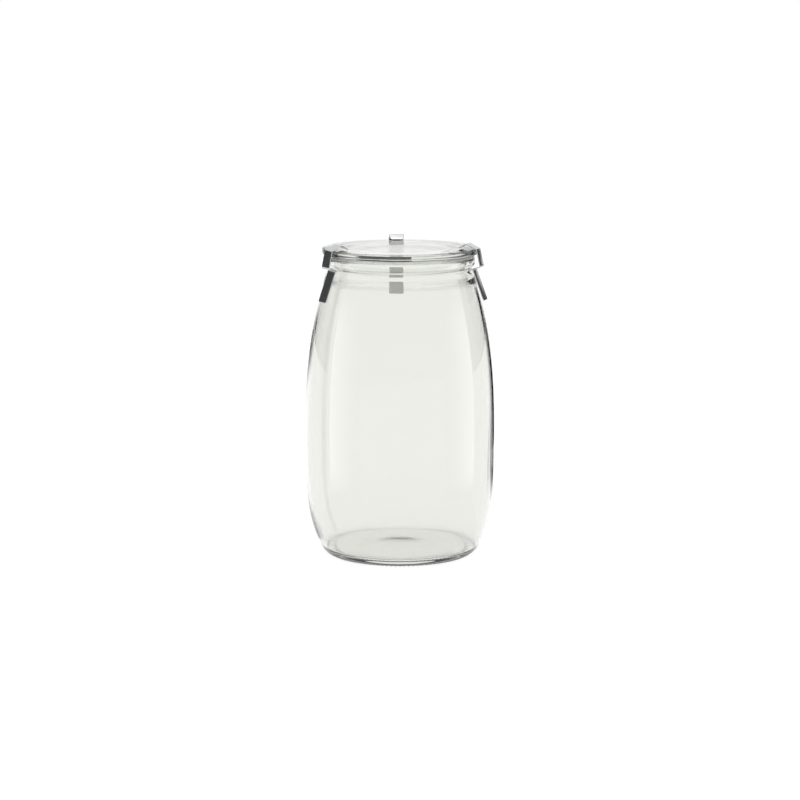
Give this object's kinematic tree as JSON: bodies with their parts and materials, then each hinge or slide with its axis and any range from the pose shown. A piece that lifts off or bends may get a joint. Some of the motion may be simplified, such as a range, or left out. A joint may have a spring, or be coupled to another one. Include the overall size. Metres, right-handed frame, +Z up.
{
  "type": "clip-top glass storage jar",
  "caption": "Barrel-shaped clear glass storage jar with a flat glass lid, a sealing ring and spring clips that hook over the lid and under the rim.",
  "frame": {"origin": "on the jar's axis, in the plane its foot stands on", "axes": "+Z up along the jar's axis; -Y is the front; +X is to the right seen from the front"},
  "size_m": [0.1404, 0.1404, 0.2322],
  "materials": {
    "jar_glass": "clear, very slightly green-grey, polished",
    "lid_glass": "clear pressed glass",
    "gasket": "pale translucent silicone, satin",
    "clip_steel": "bright rolled spring steel"
  },
  "bodies": {
    "jar": {"jar_body": "jar_glass"},
    "lid": {"lid": "lid_glass", "gasket": "gasket"},
    "clip_left": {"clip_left": "clip_steel"},
    "clip_right": {"clip_right": "clip_steel"},
    "clip_back": {"clip_back": "clip_steel"}
  },
  "joints": [
    {"name": "lid_lift", "type": "slide", "parent": "jar", "child": "lid", "axis": [0, 0, 1], "range_m": [0, 0.035]},
    {"name": "clip_left_swing", "type": "hinge", "parent": "lid", "child": "clip_left", "pos_m": [-0.03932, -0.0227, 0.22865], "axis": [-0.5, 0.866, 0], "range_deg": [0, 110]},
    {"name": "clip_right_swing", "type": "hinge", "parent": "lid", "child": "clip_right", "pos_m": [0.04353, -0.01289, 0.22865], "axis": [-0.284, -0.9588, 0], "range_deg": [0, 110]},
    {"name": "clip_back_swing", "type": "hinge", "parent": "lid", "child": "clip_back", "pos_m": [-0.0023, 0.04534, 0.22865], "axis": [0.9987, 0.0506, 0], "range_deg": [0, 110]}
  ],
  "couplings": [
    {"joint": "clip_left_swing", "follows": "lid_lift", "rad_per_m": 54},
    {"joint": "clip_right_swing", "follows": "lid_lift", "rad_per_m": 54},
    {"joint": "clip_back_swing", "follows": "lid_lift", "rad_per_m": 54}
  ]
}
